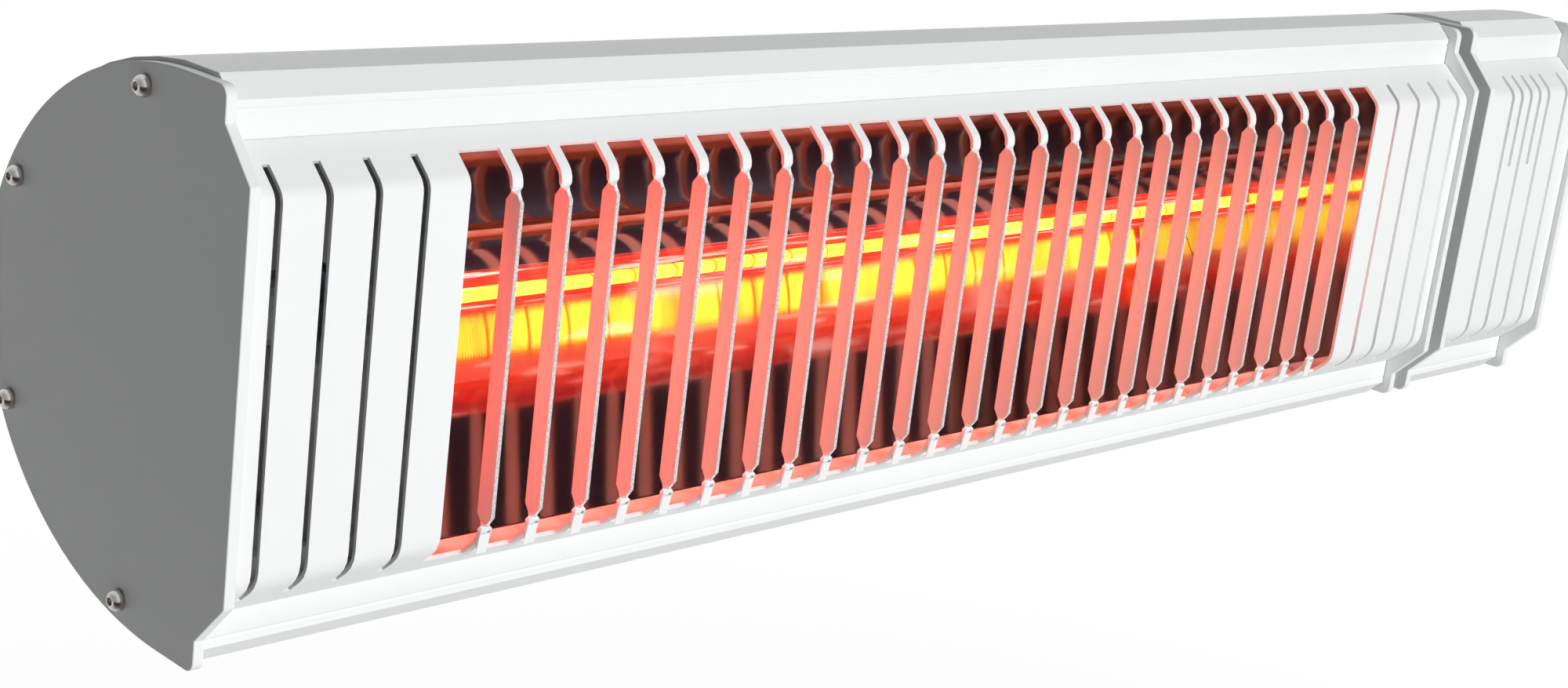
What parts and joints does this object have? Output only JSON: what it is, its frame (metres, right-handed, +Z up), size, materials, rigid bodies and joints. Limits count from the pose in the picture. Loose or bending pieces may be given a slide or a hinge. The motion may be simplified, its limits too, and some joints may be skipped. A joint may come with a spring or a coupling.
{
  "type": "infrared patio heater",
  "caption": "Wall-mounted infrared patio heater in white with a ruby lamp behind a grille of twisted bars, a control module at one end and a tilting bracket.",
  "frame": {"origin": "centre of the wall plate's back face, on the wall behind the middle of the main heater", "axes": "+X along the heater towards the control module, +Y into the wall, +Z up"},
  "size_m": [0.663, 0.1842, 0.1532],
  "materials": {
    "white_powder_coat": "satin powder coat",
    "bright_aluminium": "polished sheet",
    "ruby_quartz": "ruby tinted quartz, lit",
    "hot_tungsten": "glowing coil",
    "white_ceramic": "unglazed",
    "stainless_steel": "plain stainless",
    "galvanised_steel": "zinc plated",
    "silicone_sleeve": "matte sleeve",
    "glass_laminate": "green laminate",
    "plain_aluminium": "as extruded",
    "black_nylon": "moulded",
    "blue_sleeve": "shrink sleeve"
  },
  "bodies": {
    "bracket": {"wall_bracket": "white_powder_coat", "tilt_bolt": "stainless_steel", "tilt_nut": "stainless_steel", "tilt_washer_left": "stainless_steel", "tilt_washer_right": "stainless_steel"},
    "heater": {"housing_shell": "white_powder_coat", "front_grille": "white_powder_coat", "left_end_plate": "white_powder_coat", "right_end_plate": "white_powder_coat", "reflector": "bright_aluminium", "reflector_cheek_left": "bright_aluminium", "reflector_cheek_right": "bright_aluminium", "lamp_tube": "ruby_quartz", "lamp_filament": "hot_tungsten", "lamp_base_left": "white_ceramic", "lamp_base_right": "white_ceramic", "lamp_holder_left": "galvanised_steel", "lamp_holder_right": "galvanised_steel", "lamp_lead_left": "silicone_sleeve", "lamp_lead_right": "silicone_sleeve", "terminal_block": "white_ceramic", "link_nipple_upper": "galvanised_steel", "link_nipple_lower": "galvanised_steel", "link_nut_main_upper": "galvanised_steel", "link_nut_main_lower": "galvanised_steel", "link_nut_control_upper": "galvanised_steel", "link_nut_control_lower": "galvanised_steel", "link_cable": "silicone_sleeve", "control_housing_shell": "white_powder_coat", "control_front_panel": "white_powder_coat", "control_left_plate": "white_powder_coat", "control_right_plate": "white_powder_coat", "control_board": "glass_laminate", "control_heat_sink": "plain_aluminium", "control_relay": "black_nylon", "control_capacitor": "blue_sleeve", "control_terminals": "white_ceramic", "cable_gland": "black_nylon", "gland_lock_nut": "black_nylon", "mounting_shoe": "galvanised_steel", "shoe_bolt_left": "stainless_steel", "shoe_bolt_right": "stainless_steel", "left_plate_screw_1": "stainless_steel", "left_plate_screw_2": "stainless_steel", "left_plate_screw_3": "stainless_steel", "left_plate_screw_4": "stainless_steel", "right_plate_screw_1": "stainless_steel", "right_plate_screw_2": "stainless_steel", "right_plate_screw_3": "stainless_steel", "right_plate_screw_4": "stainless_steel", "control_left_screw_1": "stainless_steel", "control_left_screw_2": "stainless_steel", "control_left_screw_3": "stainless_steel", "control_left_screw_4": "stainless_steel", "control_right_screw_1": "stainless_steel", "control_right_screw_2": "stainless_steel", "control_right_screw_3": "stainless_steel", "control_right_screw_4": "stainless_steel"}
  },
  "joints": [
    {"name": "tilt", "type": "hinge", "parent": "bracket", "child": "heater", "pos_m": [0, -0.038, 0], "axis": [1, 0, 0], "range_deg": [-10, 45]}
  ]
}
